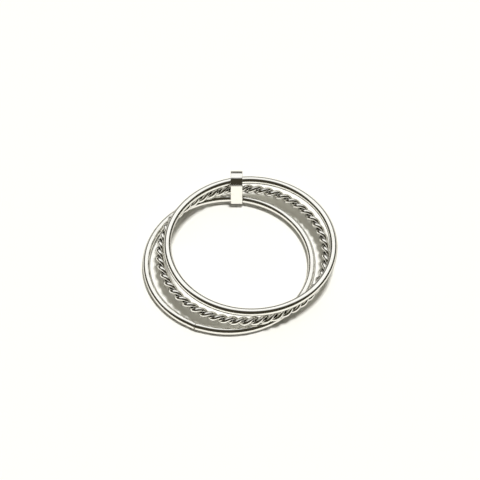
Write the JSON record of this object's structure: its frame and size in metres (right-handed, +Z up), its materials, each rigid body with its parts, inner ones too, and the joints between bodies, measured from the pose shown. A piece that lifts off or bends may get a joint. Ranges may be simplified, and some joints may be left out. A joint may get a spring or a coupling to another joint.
{
  "type": "linked ring puzzle",
  "caption": "Plain and rope-twisted round wire rings held captive side by side in one small bent strip loop, so they slide round, fan out and fold over.",
  "frame": {"origin": "on the resting surface, below the centre of the bottom ring", "axes": "+Z up, +Y from the rings' middle towards the link at the back, +X along the link's width"},
  "size_m": [0.0768, 0.0751, 0.0125],
  "materials": {
    "polished_wire": "polished silver",
    "rope_wire": "polished silver, slightly duller between the strands",
    "link_strip": "polished silver",
    "solder": "filed silver solder"
  },
  "bodies": {
    "bottom_ring": {"bottom_ring_wire": "polished_wire", "bottom_ring_solder": "solder"},
    "link": {"link_strip": "link_strip", "link_solder": "solder"},
    "rope_ring": {"rope_strand_a": "rope_wire", "rope_strand_b": "rope_wire", "rope_ring_solder": "solder"},
    "top_ring": {"top_ring_wire": "polished_wire", "top_ring_solder": "solder"}
  },
  "joints": [
    {"name": "link_slide", "type": "hinge", "parent": "bottom_ring", "child": "link", "pos_m": [0, 0, 0.00193], "axis": [0, -0.013, 0.9999], "continuous": true},
    {"name": "rope_ring_fan", "type": "hinge", "parent": "link", "child": "rope_ring", "pos_m": [0.00291, 0.03459, 0.00597], "axis": [0.01, -0.013, 0.9999], "range_deg": [-4, 10]},
    {"name": "top_ring_lift", "type": "hinge", "parent": "link", "child": "top_ring", "pos_m": [0.00291, 0.03595, 0.00947], "axis": [-0.9857, -0.1685, 0.0077], "range_deg": [0, 185]}
  ]
}
